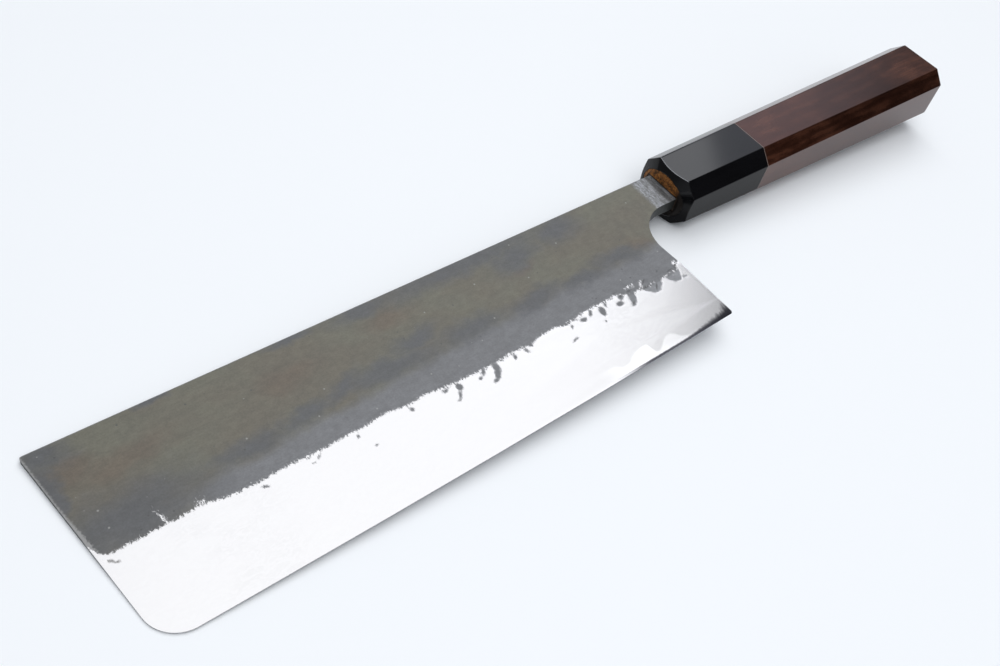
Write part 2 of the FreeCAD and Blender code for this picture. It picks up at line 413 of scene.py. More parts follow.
# Dark streaks in it near the heel
scaleStreaks = [
    (-31.9, -26.0, 1.9, 0.42, 0), (-31.0, -24.2, 1.4, 0.36, 35), (-28.7, -27.2, 1.5, 0.32, 50),
    (-36.9, -24.7, 1.4, 0.45, 0), (-25.0, -23.3, 0.9, 0.36, 20), (-21.5, -24.8, 1.6, 0.28, 5),
    (-19.0, -24.4, 0.9, 0.45, 60), (-40.3, -25.0, 0.6, 0.5, 0), (-46.6, -22.3, 0.6, 0.2, 20),
    (-41.2, -23.3, 0.8, 0.25, -10), (-38.4, -28.4, 0.9, 0.4, 40),
]

# Where the hard core comes out of the cladding on the bevel, and how far a painted dark reflection rises from
# the edge at the heel
coreLine = [
    (-187.0, -40.6), (-120.0, -41.2), (-90.0, -40.6), (-74.0, -42.0), (-66.0, -40.8), (-57.0, -41.2),
    (-54.5, -42.3), (-51.0, -41.2), (-47.5, -40.2), (-45.2, -40.0), (-44.2, -42.0), (-43.0, -43.2),
    (-41.5, -42.6), (-39.5, -41.4), (-37.5, -40.6), (-35.5, -41.2), (-34.0, -42.6), (-31.5, -43.6),
    (-28.0, -44.2), (1.0, -45.0),
]
paintedReflectionLine = [
    (-187.0, -0.6), (-60.0, 0.2), (-46.0, 0.35), (-40.0, 0.42), (-34.0, 0.52), (-30.0, 0.85),
    (-26.0, 1.4), (-22.0, 1.9), (-18.5, 2.9), (-16.9, 3.9), (-15.8, 4.9), (1.0, 5.0),
]

# Colours of the forge scale, as ovals: a blue-black skin, and rusty blooms
slateOvals = [
    (-173.0, -18.3, 17.0, 6.6, 4), (-144.8, -16.1, 9.0, 2.6, 0), (-129.7, -15.3, 8.0, 2.3, 4),
    (-117.7, -13.0, 6.0, 2.4, 20), (-105.7, -14.1, 14.0, 3.2, -4), (-95.6, -9.9, 7.0, 2.6, 10),
    (-81.6, -13.9, 11.0, 3.0, 0), (-182.1, 3.6, 6.0, 3.6, -20), (-183.7, -6.3, 2.2, 12.0, -5),
    (-156.9, 5.4, 3.5, 1.2, 0), (-121.7, 5.2, 6.0, 1.2, 0), (-101.6, 4.3, 9.0, 2.4, 0),
    (-70.6, 4.3, 27.0, 3.4, 1), (-56.6, -0.3, 8.0, 4.4, 10), (-39.6, 2.5, 7.5, 4.2, 0),
    (-44.7, -15.3, 9.0, 2.4, 0), (-30.8, -14.1, 9.0, 2.4, -6), (-60.7, -14.5, 9.0, 2.6, 6),
]
rustOvals = [
    (-166.9, -5.3, 15.0, 4.6, 4), (-178.0, -2.3, 8.0, 5.0, 0), (-128.7, -4.3, 13.0, 5.0, 0),
    (-21.8, -13.5, 7.0, 4.0, -30), (-56.6, -4.9, 8.0, 2.0, 10), (-98.6, -1.3, 10.0, 4.0, 0),
]


def turnedRound(along):
    # the right face has the left one's pattern, turned end for end
    return blade["tip"] + blade["heel"] - along


def ovalDepth(place, ovals, inMillimetres):
    # how deep a place is inside the nearest oval: in millimetres, or as a share of it
    deepest = None
    for along, up, length, width, angle in ovals:
        turn = math.radians(angle)
        centre = Vector((along, up, 0))
        lengthwise = Vector((math.cos(turn), math.sin(turn), 0)) / length
        across = Vector((-math.sin(turn), math.cos(turn), 0)) / width
        first = place.dot(lengthwise) - lengthwise.dot(centre)
        second = place.dot(across) - across.dot(centre)
        inside = 1 - (first * first + second * second).math("SQRT")
        if inMillimetres:
            inside = inside * width
        deepest = inside if deepest is None else deepest.math("MAXIMUM", inside)
    return deepest


def lineAt(along, line):
    # height of a drawn line at a place along the knife
    span = line[-1][0] - line[0][0]
    low = min(height for _, height in line) - skin["lineMargin"]
    high = max(height for _, height in line) + skin["lineMargin"]
    points = [((place - line[0][0]) / span, (height - low) / (high - low)) for place, height in line]
    curve = along.make("ShaderNodeFloatCurve", {"points": points}, {"Value": (along - line[0][0]) / span})
    return curve * (high - low) + low


def scaleField(along, up):
    # how far a place is inside the forge scale, in millimetres, and inside its main area
    place = along.joined(along, up, skin["seed"])
    edge = up - lineAt(along, scaleLine) + place.sway(**skin["strokes"]) + place.sway(**skin["fray"])
    patches = ovalDepth(place, scalePatches, True) + place.sway(**skin["patchRim"])
    chips = ovalDepth(place, scaleChips, True) + place.sway(**skin["chipRim"])
    return edge.math("MAXIMUM", patches).math("MINIMUM", -chips), edge


def aboveEdge(along, up):
    # height above the cutting edge
    slope = (blade["heelEdge"] - blade["edge"]) / (blade["heel"] - blade["tip"])
    return up - ((along - blade["heel"]) * slope + blade["heelEdge"])


def skinDepth(along, up, side):
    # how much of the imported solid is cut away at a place, in millimetres
    field, edge = scaleField(along if side > 0 else turnedRound(along), up)
    onScale = field.ease(*skin["scaleRim"])
    inPit = onScale * edge.ease(*skin["pitTop"], 1.0, 0.0)
    place = along.joined(along, up, skin["seed"] * side)
    lumps = place.noise(**skin["lumps"]) * skin["lumpDepth"]
    grain = place.noise(**skin["grain"]) * skin["grainDepth"]
    waves = place.noise(**skin["waves"]) * skin["waveDepth"]
    rise = aboveEdge(along, up)
    nearEdge = (1 - rise / skin["rollRise"]).math("MAXIMUM", 0.0)
    nearHeel = along.ease(blade["heel"] - skin["rollReach"], blade["heel"])
    heelLine = rise * -blade["heelSlope"] + blade["heel"]
    besideHeel = (heelLine - along).ease(0.0, skin["heelRoll"], 1.0, 0.0)
    besideHeel = besideHeel * up.ease(*skin["heelEnd"], 1.0, 0.0) * skin["heelShare"]
    roll = nearEdge * nearEdge * nearHeel * nearHeel
    roll = roll.math("MAXIMUM", besideHeel) * skin["rollDepth"]
    depth = skin["least"] + onScale * (lumps + grain) + (1 - onScale) * waves
    return depth + inPit * skin["pitDepth"] + roll


def knifePlace(place):
    # along, up and out, in millimetres, of a point in the row frame
    offset = place.vector("SUBTRACT", knifeZero)
    return [offset.dot(axis / mm) for axis in (alongKnife, towardsSpine, outOfFace)]


def rowPlace(along, up, out):
    # the point in the row frame, in metres
    place = None
    for axis, amount in ((alongKnife, along), (towardsSpine, up), (outOfFace, out)):
        step = along.make("ShaderNodeVectorMath", {"operation": "SCALE"}, {0: axis * mm, "Scale": amount})
        place = step if place is None else place.vector("ADD", step)
    return place.vector("ADD", knifeZero)


def newTree(name, inputs):
    tree = bpy.data.node_groups.new(name, "GeometryNodeTree")
    tree.interface.new_socket("Geometry", in_out="OUTPUT", socket_type="NodeSocketGeometry")
    for label, kind in inputs.items():
        tree.interface.new_socket(label, in_out="INPUT", socket_type="NodeSocket" + kind)
    return tree, Wire(tree).make("NodeGroupInput")


def endTree(tree, geometry):
    tree.links.new(geometry.socket, tree.nodes.new("NodeGroupOutput").inputs[0])
    return tree


def shapeOf(start, label):
    # the mesh of the object that a tree's input names
    sockets = {"Object": start.pick(label)}
    return start.make("GeometryNodeObjectInfo", {"transform_space": "ORIGINAL"}, sockets, "Geometry")


def solid(start, label):
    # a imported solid, its loose triangles joined
    sockets = {"Geometry": shapeOf(start, label), "Distance": skin["join"]}
    return start.make("GeometryNodeMergeByDistance", (), sockets)


def wasteTree(side):
    # everything above the finished face on one side
    layers = ("Left", "Core", "Right")
    sizes = ("Cell", "Margin", "Mouth reach")
    tree, start = newTree("waste", {**dict.fromkeys(layers, "Object"), **dict.fromkeys(sizes, "Float")})
    whole = start.make("GeometryNodeJoinGeometry", (), {0: [solid(start, label) for label in layers]})
    cell, margin, mouthReach = [start.pick(label) for label in sizes]
    length = mouthReach + margin - blade["tip"]
    height = margin * 2 + (blade["spine"] - blade["edge"])
    box = start.make("GeometryNodeMeshCube", (), {
        "Size": start.joined(length, height, 1.0),
        "Vertices X": length / cell, "Vertices Y": height / cell, "Vertices Z": 2,
    })
    x, y, z = start.make("GeometryNodeInputPosition").parts()
    along = x + length / 2 - margin + blade["tip"]
    up = y + middle((blade["spine"], blade["edge"]))
    ray = start.make("GeometryNodeRaycast", (), {
        "Target Geometry": whole, "Source Position": rowPlace(along, up, skin["rayStart"] * side),
        "Ray Direction": outOfFace * -side, "Ray Length": skin["rayLength"],
    }, "Is Hit")
    near = start.make("GeometryNodeProximity", {"target_element": "FACES"}, {
        "Geometry": whole, "Sample Position": rowPlace(along, up, skin["besideFace"] * side),
    }, "Position")
    face = ray.mixNumber(knifePlace(near)[2], knifePlace(ray.pick("Hit Position"))[2]) * side
    onFace = z.math("LESS_THAN", 0.0)
    out = onFace.mixNumber(skin["wasteTop"], face - skinDepth(along, up, side)) * side
    net = start.make("GeometryNodeSetPosition", (), {"Geometry": box, "Position": rowPlace(along, up, out)})
    return endTree(tree, net if side > 0 else start.make("GeometryNodeFlipFaces", (), {"Mesh": net}))


def layerTree():
    # one layer less the waste on both sides, with the marks that its finish reads
    wastes = ("Left waste", "Right waste")
    tree, start = newTree("forged layer", {
        "Layer": "Object", **dict.fromkeys(wastes, "Object"), "Crease": "Float", "Finish": "Material",
    })
    layer = solid(start, "Layer")
    for label in wastes:
        layer = start.make("GeometryNodeMeshBoolean", {"operation": "DIFFERENCE", "solver": "MANIFOLD"}, {
            "Mesh 1": layer, "Mesh 2": shapeOf(start, label),
        })
    along, up, out = knifePlace(start.make("GeometryNodeInputPosition"))
    along = out.math("GREATER_THAN", 0.0).mixNumber(turnedRound(along), along)
    field, edge = scaleField(along, up)
    place = along.joined(along, up, skin["seed"])
    drifted = place.vector("ADD", place.wander(**skin["drift"]))
    marks = {
        "scaleField": field, "lineField": edge, "streak": ovalDepth(place, scaleStreaks, False),
        "slate": ovalDepth(drifted, slateOvals, False), "rust": ovalDepth(drifted, rustOvals, False),
    }
    for name, value in marks.items():
        layer = start.make("GeometryNodeStoreNamedAttribute", {"data_type": "FLOAT", "domain": "POINT"}, {
            "Geometry": layer, "Name": name, "Value": value,
        })
    angle = start.make("GeometryNodeInputMeshEdgeAngle", (), (), "Unsigned Angle")
    for domain, smooth in (("FACE", True), ("EDGE", angle.math("LESS_THAN", start.pick("Crease")))):
        layer = start.make("GeometryNodeSetShadeSmooth", {"domain": domain}, {
            "Geometry": layer, "Shade Smooth": smooth,
        })
    whole = start.make("GeometryNodeRealizeInstances", (), {"Geometry": layer})
    sockets = {"Geometry": whole, "Material": start.pick("Finish")}
    return endTree(tree, start.make("GeometryNodeSetMaterial", (), sockets))


def applyTree(name, tree, values):
    piece = bpy.data.objects.new(name, bpy.data.meshes.new(name))
    scene.collection.objects.link(piece)
    modifier = piece.modifiers.new(tree.name, "NODES")
    modifier.node_group = tree
    for item in tree.interface.items_tree:
        if item.in_out == "INPUT":
            modifier[item.identifier] = values[item.name]
    settle(piece)
    return piece


def makeBlade(finishes):
    values = {
        "Left": nodes["left_cladding"], "Core": nodes["core_steel"], "Right": nodes["right_cladding"],
        "Cell": skin["cell"], "Margin": skin["margin"], "Mouth reach": skin["mouthReach"],
        "Crease": skin["creaseAngle"],
    }
    wastes = {
        "Left waste": applyTree("left_waste", wasteTree(1), values),
        "Right waste": applyTree("right_waste", wasteTree(-1), values),
    }
    tree = layerTree()
    layers = {
        "core_steel": "core_steel", "left_cladding": "cladding_steel", "right_cladding": "cladding_steel",
    }
    made = {}
    for node, slot in layers.items():
        values.update(wastes, Layer=nodes[node], Finish=finishes[slot])
        made[node] = applyTree("forged_" + node, tree, values)
        mesh = made[node].data
        print(made[node].name, len(mesh.vertices), "points", len(mesh.polygons), "faces")
    for waste in wastes.values():
        bpy.data.objects.remove(waste)
    for node, piece in made.items():
        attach(piece, "root")
        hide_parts(node)


# Finish of the blade; four numbers together are an ease: from, to, first and last value

steel = {
    "brown": paint(0.118, 0.107, 0.082),
    "olive": paint(0.124, 0.121, 0.092),
    "rust": paint(0.118, 0.092, 0.068),
    "slate": paint(0.080, 0.084, 0.092),
    "band": paint(0.150, 0.154, 0.164),
    "streak": paint(0.055, 0.055, 0.058),
    "fleck": paint(0.36, 0.36, 0.35),
    "worn": paint(0.30, 0.30, 0.30),
    "neckLight": paint(0.29, 0.30, 0.32),
    "neckDark": paint(0.125, 0.128, 0.130),
    "mouth": paint(0.035, 0.034, 0.033),
    "cladding": paint(0.442, 0.440, 0.448),
    "core": paint(0.53, 0.53, 0.54),
    # painted shade: the dark reflection at the heel's corner, and the darker edge walls towards the heel
    "paintedShade": paint(0.020, 0.020, 0.028),
    "scaledWall": paint(0.045, 0.048, 0.046),
    "bareWall": paint(0.42, 0.42, 0.43),
    # forge scale
    "scaleRim": (-0.28, 0.28),
    "teethGrowth": (-1.2, -0.3, 1.0, 4.0),       # the main line is more ragged than the patches
    "oliveEdge": (0.38, 0.62),
    "rustEdge": (0.0, 0.8),
    "rustShare": 0.7,
    "bandTop": -18.2,                            # the blue-grey band starts here, above the line
    "bandWobble": 5.0,
    "bandGrowth": (-150.0, -60.0, 0.0, 3.0),     # and higher towards the heel
    "bandEdge": (-2.6, 1.6, 1.0, 0.0),
    "bandStart": (-166.0, -154.0, 0.25, 1.0),
    "slateClouds": 0.7,
    "slateEdge": (-0.7, 0.8),
    "slateShare": 0.9,
    "shades": {
        "clouds": (0.2, 0.8, 0.88, 1.12),
        "dabs": (0.25, 0.75, 0.90, 1.10),
        "strokes": (0.2, 0.8, 0.95, 1.05),
        "speckle": (0.25, 0.75, 0.90, 1.10),
    },
    "heelPatch": 0.45,                           # patches of scale near the heel are this much lighter
    "heelPatchTop": (-0.9, -0.1, 1.0, 0.0),
    "heelPatchStart": (-44.0, -36.0),
    "streakClouds": 0.8,
    "streakTeeth": 0.6,
    "streakEdge": (-0.1, 0.6),
    "streakShare": 0.7,
    "spotCell": 2.4,                             # one spot at most in a cell of this size
    "spotEdge": (0.06, 0.13, 1.0, 0.0),
    "fleckFrom": 0.85,                           # cells whose random number is above this have a bright one
    "fleckShare": 0.55,
    "darkSpotBelow": 0.22,                       # and below this a dark one
    "darkSpotShare": 0.7,
    # bare steel
    "spineShare": 1.3,
    "rubReach": (-22.0, -8.0, 2.4, 1.2),
    "wornEdge": (-0.7, -0.1, 0.8, 0.0),
    "neckStart": (-8.6, -6.4),
    "neckRagged": 2.6,
    "neckBands": (0.35, 0.65),
    "neckShade": (0.25, 0.75, 0.7, 1.35),
    "mouthStart": (-2.7, -1.9),
    "mouthRagged": 1.6,
    "mouthEnd": (-1.0, -0.5, 0.6, 0.0),
    # ground bevel
    "coreRipple": 0.5,
    "coreEdge": (-0.5, 0.4, 1.0, 0.0),
    "coreStart": (-64.0, -50.0),
    "figureSpans": [((-172.0, -163.0), (-152.0, -140.0)), ((-62.0, -48.0), (-38.0, -29.0))],
    "figureEdge": (0.4, 0.6),
    "figureLines": 26.0,
    "figureShade": (-1.0, 1.0, 0.0, 0.035),
    "featherReach": 1.2,
    # the painted dark reflection at the heel: its ragged top, its least height and where it starts
    "featherLeast": 0.35,
    "paintedReflectionLeast": 0.05,
    "paintedReflectionEdge": (0.25, 1.15, 0.95, 0.0),
    "paintedReflectionStart": (-62.0, -46.0),
    "bevelRoughness": (0.3, 0.7, 0.21, 0.23),
    "coreRoughness": 0.19,
    # narrow walls: spine, heel and tip
    "wallLean": (0.45, 0.6, 1.0, 0.0),
    # painted shade: the bare walls darken towards the heel
    "wallPaintedShade": (-140.0, -60.0),
    "wallPaintedShadeShare": 0.8,
    "wallRoughness": (0.2, 0.8, 0.34, 0.48),
    "wallMetal": 0.8,
    # gloss and relief
    "wornMetal": 0.7,
    "neckMetal": 0.3,
    "scaleRoughness": 0.46,
    "scaleSwing": 0.2,
    "speckleBump": 0.9,
    "strokeBump": 0.3,
    "figureBump": 0.25,
    "bumpStrength": 0.4,
    "bumpDepth": 0.00003,
}

# Noise on the blade's faces, by wavelength in millimetres
steelNoise = {
    "teeth": {"size": 0.42, "detail": 4.0, "roughness": 0.75, "stretch": (1.0, 0.4, 1.0)},
    "clouds": {"size": 5.0, "detail": 4.0, "roughness": 0.6, "stretch": (0.6, 1.0, 1.0)},
    "fields": {"size": 16.0, "detail": 3.0, "stretch": (0.7, 1.0, 1.0)},
    "wobble": {"size": 7.0, "detail": 3.0, "roughness": 0.55, "stretch": (1.0, 0.5, 1.0)},
    "dabs": {"size": 1.7, "detail": 3.0, "roughness": 0.6, "stretch": (0.8, 1.0, 1.0)},
    "strokes": {"size": 0.6, "detail": 3.0, "roughness": 0.6, "stretch": (0.15, 1.0, 1.0)},
    "speckle": {"size": 0.45, "detail": 3.0, "roughness": 0.65},
    "rub": {"size": 0.55, "detail": 3.0, "roughness": 0.7},
    "bands": {"size": 1.5, "detail": 4.0, "roughness": 0.7, "stretch": (1.0, 0.35, 1.0)},
    "ripple": {"size": 1.8},
    "figure": {"size": 1.5, "detail": 3.0, "roughness": 0.55, "distortion": 1.8, "stretch": (0.45, 1.0, 1.0)},
    "shown": {"size": 9.0, "stretch": (0.5, 1.0, 1.0)},
    "feather": {"size": 0.6, "detail": 3.0, "roughness": 0.65, "stretch": (1.0, 0.25, 1.0)},
    "wall": {"size": 0.8},
}


def forgeScale(place, flat, grain, shades):
    # brown to olive with slate and rusty clouds, blue-grey next to the ground line
    along, up, _ = place.parts()
    clouds, teeth = grain["clouds"] - 0.5, grain["teeth"] - 0.5
    wobble = (grain["wobble"] - 0.5) * steel["bandWobble"]
    band = (up + wobble - along.ease(*steel["bandGrowth"]) - steel["bandTop"]).ease(*steel["bandEdge"])
    tone = grain["fields"].ease(*steel["oliveEdge"]).mixColour(steel["brown"], steel["olive"])
    rust = mark(place, "rust").ease(*steel["rustEdge"]) * steel["rustShare"]
    tone = rust.mixColour(tone, steel["rust"])
    tone = (band * along.ease(*steel["bandStart"])).mixColour(tone, steel["band"])
    slate = (mark(place, "slate") + clouds * steel["slateClouds"]).ease(*steel["slateEdge"])
    tone = (slate * steel["slateShare"]).mixColour(tone, steel["slate"])
    heelPatch = mark(place, "lineField").ease(*steel["heelPatchTop"]) * along.ease(*steel["heelPatchStart"])
    shade = shades["clouds"] * shades["dabs"] * shades["strokes"] * shades["speckle"]
    tone = shaded(tone, shade * (1 + heelPatch * steel["heelPatch"]))
    streak = mark(place, "streak") + clouds * steel["streakClouds"] + teeth * steel["streakTeeth"]
    tone = (streak.ease(*steel["streakEdge"]) * steel["streakShare"]).mixColour(tone, steel["streak"])

    # bright and dark spots
    cells = flat.make("ShaderNodeTexVoronoi", {"feature": "F1"}, {
        "Vector": flat, "Scale": 1 / steel["spotCell"], "Randomness": 1.0,
    })
    chosen = cells.pick("Color").parts()[0]
    spot = cells.pick("Distance").ease(*steel["spotEdge"])
    bright = spot * chosen.math("GREATER_THAN", steel["fleckFrom"]) * steel["fleckShare"]
    dark = spot * chosen.math("LESS_THAN", steel["darkSpotBelow"]) * steel["darkSpotShare"]
    return dark.mixColour(bright.mixColour(tone, steel["fleck"]), steel["streak"])


def bareSteel(along, up, grain):
    # where the scale is rubbed off, at the tip's end and the spine's corner, and the ground neck
    fromSpine = blade["spine"] - up
    tipLine = fromSpine * (blade["tipLean"] / (blade["spine"] - blade["edge"])) + blade["tip"]
    fromEnds = (along - tipLine).math("MINIMUM", fromSpine * steel["spineShare"])
    worn = (fromEnds - grain["rub"] * up.ease(*steel["rubReach"])).ease(*steel["wornEdge"])
    neck = (along + (grain["rub"] - 0.5) * steel["neckRagged"]).ease(*steel["neckStart"])
    mouth = (along + (grain["bands"] - 0.5) * steel["mouthRagged"]).ease(*steel["mouthStart"])
    ground = grain["bands"].ease(*steel["neckBands"]).mixColour(steel["neckDark"], steel["neckLight"])
    ground = shaded(ground, grain["rub"].ease(*steel["neckShade"]))
    return worn, neck, (mouth * along.ease(*steel["mouthEnd"])).mixColour(ground, steel["mouth"])


def groundBevel(along, up, grain):
    # soft cladding above, hard core along the edge, a painted dark reflection at the heel
    ripple = (grain["ripple"] - 0.5) * steel["coreRipple"]
    onCore = (up - lineAt(along, coreLine) + ripple).ease(*steel["coreEdge"])
    onCore = onCore * along.ease(*steel["coreStart"])
    spans = [along.ease(*start) * along.ease(*end, 1.0, 0.0) for start, end in steel["figureSpans"]]
    shown = grain["shown"].ease(*steel["figureEdge"]) * (spans[0] + spans[1])
    lines = (grain["figure"] * steel["figureLines"]).math("SINE").ease(*steel["figureShade"])
    # painted dark reflection: it rises from the edge by a ragged height, towards the heel
    feather = grain["feather"] * steel["featherReach"] + steel["featherLeast"]
    paintedReflectionTop = (lineAt(along, paintedReflectionLine) * feather).math("MAXIMUM", steel["paintedReflectionLeast"])
    paintedShade = (aboveEdge(along, up) / paintedReflectionTop).ease(*steel["paintedReflectionEdge"]) * along.ease(*steel["paintedReflectionStart"])
    colour = shaded(onCore.mixColour(steel["cladding"], steel["core"]), 1 - lines * shown)
    rough = onCore.mixNumber(grain["figure"].ease(*steel["bevelRoughness"]), steel["coreRoughness"])
    return paintedShade.mixColour(colour, steel["paintedShade"]), rough, shown


def bladeFinish(name):
    material, shader, place = newFinish(name)
    along, up, _ = place.parts()
    flat = place.vector("MULTIPLY", (1.0, 1.0, 0.0))
    grain = {label: flat.noise(**noise) for label, noise in steelNoise.items()}
    shades = {label: grain[label].ease(*swing) for label, swing in steel["shades"].items()}
    teeth = (grain["teeth"] - 0.5) * mark(place, "lineField").ease(*steel["teethGrowth"])
    onScale = (mark(place, "scaleField") + teeth).ease(*steel["scaleRim"])
    worn, neck, neckTone = bareSteel(along, up, grain)
    bevelTone, bevelRough, shown = groundBevel(along, up, grain)
    scaleTone = worn.mixColour(forgeScale(place, flat, grain, shades), steel["worn"])
    tone = onScale.mixColour(bevelTone, neck.mixColour(scaleTone, neckTone))
    bare = (worn * steel["wornMetal"]).math("MAXIMUM", neck * steel["neckMetal"])
    scaleRough = steel["scaleRoughness"] + (grain["clouds"] - 0.5) * steel["scaleSwing"]

    # the narrow walls have a plainer finish
    normal = place.make("ShaderNodeNewGeometry", (), (), "True Normal")
    onWall = normal.dot(outOfFace).math("ABSOLUTE").ease(*steel["wallLean"])
    # painted shade on the bare walls, darker towards the heel
    wallPaintedShade = along.ease(*steel["wallPaintedShade"]) * steel["wallPaintedShadeShare"]
    wallTone = onScale.mixColour(wallPaintedShade.mixColour(steel["bareWall"], steel["paintedShade"]), steel["scaledWall"])
    wallRough = grain["wall"].ease(*steel["wallRoughness"])
    scaleHeight = shades["speckle"] * steel["speckleBump"] + shades["strokes"] * steel["strokeBump"]
    bevelHeight = (1 - onScale) * grain["figure"] * shown * steel["figureBump"]
    setShader(shader, {
        "Base Color": onWall.mixColour(tone, wallTone),
        "Metallic": onWall.mixNumber(onScale.mixNumber(1.0, bare), steel["wallMetal"]),
        "Roughness": onWall.mixNumber(onScale.mixNumber(bevelRough, scaleRough), wallRough),
        "Normal": bumped(onScale * scaleHeight + bevelHeight, steel["bumpStrength"], steel["bumpDepth"]),
    })
    print(name, "finished")
    return material


# Handle: black horn ferrule, rosewood grip, stained dowel, resin and glue

horn = {
    "colour": paint(0.0022, 0.0022, 0.0025),
    "streak": paint(0.005, 0.005, 0.006),
    "cloud": {"size": 4.0, "detail": 3.0, "roughness": 0.55, "stretch": (0.2, 1.0, 1.0)},
    "rubbing": {"size": 0.4, "roughness": 0.6, "stretch": (1.0, 0.1, 0.1)},
    "underRoughness": (0.2, 0.8, 0.3, 0.4),     # under the polish
    "roughness": 0.09,
    "polish": 1.325,             # index of the polished surface
    "dullNose": 0.25,            # polish left on the underside of the turned nose
    "underNose": (-4.0, 7.0),
    "dullSide": 0.6,             # and on the side towards the edge
    "noseLean": (-0.6, -0.3),
    "flatLean": (0.7, 0.9),
    "sideLean": (-0.95, -0.85),
    # a lighter rim on the turned nose: wear, and a painted highlight
    "rimWearAndHighlight": paint(0.30, 0.31, 0.33),
    "rimWearAndHighlightWidth": 0.45,           # millimetres back from the rim
    "noseRadius": 6.8,
    "noseSlope": 0.63,           # the nose goes back by this share of its radius's growth
    "rimInset": 0.00034,         # the nose's rim is eased over this width, metres
    "rimSetback": 0.00010,
    "flatArea": 4e-5,            # larger faces are the octagon's flats, square metres
    "levelLean": 0.2,            # faces along the handle lean less than this
    "outerLean": 0.5,            # and face away from its axis by more than this
    "rimCone": (-0.95, -0.5),    # faces of the nose at the rim lean this much
    "shadedCone": (-0.95, -0.7),
}
rosewood = {
    "dark": paint(0.0070, 0.0022, 0.0012),
    "middle": paint(0.0175, 0.0061, 0.0035),
    "light": paint(0.044, 0.0165, 0.0095),
    "tint": paint(1.0, 0.50, 0.43),
    "gloss": 0.6,
    "paintedSheenFront": 1.7,            # painted sheen: the grip is this much lighter next to the ferrule
    "frontEnd": (34.0, 80.0),
    "paleButt": 1.2,             # and its top flat gains this share towards the butt
    "buttStart": (90.0, 125.0),
    "flatLean": (0.85, 0.95),
    "ring": 3.4,                 # mean width of a growth ring
    "pith": (0.0, -34.0, -22.0),
    "bend": {"spread": (11.0, 11.0, 11.0), "size": 1.0, "detail": 3.0, "stretch": (0.02, 0.12, 0.12)},
    "cloud": {"size": 6.0, "detail": 5.0, "roughness": 0.62, "stretch": (0.45, 1.0, 1.0)},
    "fibre": {"size": 0.55, "detail": 3.0, "roughness": 0.6, "stretch": (0.035, 1.0, 1.0)},
    "pores": {"size": 0.32, "stretch": (0.09, 1.0, 1.0)},
    "poreEdge": (0.64, 0.74),
    "ringShare": 0.09,
    "cloudShare": 0.85,
    "fibreShare": 0.22,
    "toneEdge": (0.28, 0.88),
    "poreDark": 0.5,
    "roughness": (0.2, 0.8, 0.08, 0.16),
    "poreRough": 0.12,
    "fibreBump": 0.3,
    "bumpStrength": 0.1,
    "bumpDepth": 0.00003,
}
dowelWood = {
    # dark is the mottle's dark end, and the colour of the painted shade under and behind the neck
    "dark": paint(0.006, 0.004, 0.003),
    "light": paint(0.42, 0.17, 0.045),
    "roughness": (0.2, 0.8, 0.52, 0.72),
    "gloss": 0.15,
    "mottle": {"size": 1.6, "detail": 4.0, "roughness": 0.65},
    "fibre": {"size": 0.4, "roughness": 0.6, "stretch": (0.1, 1.0, 1.0)},
    "mottleShare": 0.7,
    "fibreShare": 0.4,
    "toneEdge": (0.35, 0.75),
    "paintedShadeBelow": (-6.0, -3.6),   # painted shade: darker under the neck
    # painted shade behind the neck as well
    "paintedShadeBehind": (-2.4, -0.4),
    "bumpStrength": 0.6,
    "bumpDepth": 0.0001,
}
cloudy = {"size": 0.9, "detail": 3.0, "roughness": 0.6}
resin = {
    "dark": paint(0.02, 0.012, 0.007),
    "light": paint(0.06, 0.035, 0.02),
    "roughness": (0.2, 0.8, 0.52, 0.68),
}
glue = {
    "dark": paint(0.07, 0.045, 0.04),
    "light": paint(0.22, 0.17, 0.15),
    "roughness": (0.2, 0.8, 0.32, 0.48),
}
smoothing = {"join": 1e-6, "flatAngle": math.radians(0.3), "creaseAngle": math.radians(50)}


def awayFromAxis(point):
    # direction from the handle's axis to a point
    offset = point - knifeZero
    return (offset - alongKnife * offset.dot(alongKnife)).normalized()


def isLevel(face):
    return abs(face.normal.dot(alongKnife)) < horn["levelLean"]


def easeNose(shell):
    # sets the rim between the turned nose and the flats back a little
    flats = [face for face in shell.faces if face.calc_area() > horn["flatArea"] and isLevel(face)]
    bmesh.ops.inset_individual(shell, faces=flats, thickness=horn["rimInset"], use_even_offset=True)
    low, high = horn["rimCone"]
    rims = {}
    for edge in shell.edges:
        if len(edge.link_faces) < 2:
            continue
        cone, side = sorted(edge.link_faces, key=lambda face: face.normal.dot(alongKnife))
        isTurned = low < cone.normal.dot(alongKnife) < high
        isOuter = side.normal.dot(awayFromAxis(edge.verts[0].co)) > horn["outerLean"]
        if isTurned and isLevel(side) and isOuter:
            for vertex in edge.verts:
                rims[vertex] = rims.get(vertex, Vector()) + cone.normal + side.normal
    for vertex, normal in rims.items():
        vertex.co -= normal.normalized() * horn["rimSetback"]
    print("nose eased at", len(rims), "points")


def turnNormals(mesh):
    # the turned nose is shaded as a true cone
    low, high = horn["shadedCone"]
    normals = [corner.vector.copy() for corner in mesh.corner_normals]
    for face in mesh.polygons:
        if low < face.normal.dot(alongKnife) < high:
            for corner in face.loop_indices:
                outwards = awayFromAxis(mesh.vertices[mesh.loops[corner].vertex_index].co)
                normals[corner] = (outwards * horn["noseSlope"] - alongKnife).normalized()
    mesh.normals_split_custom_set(normals)


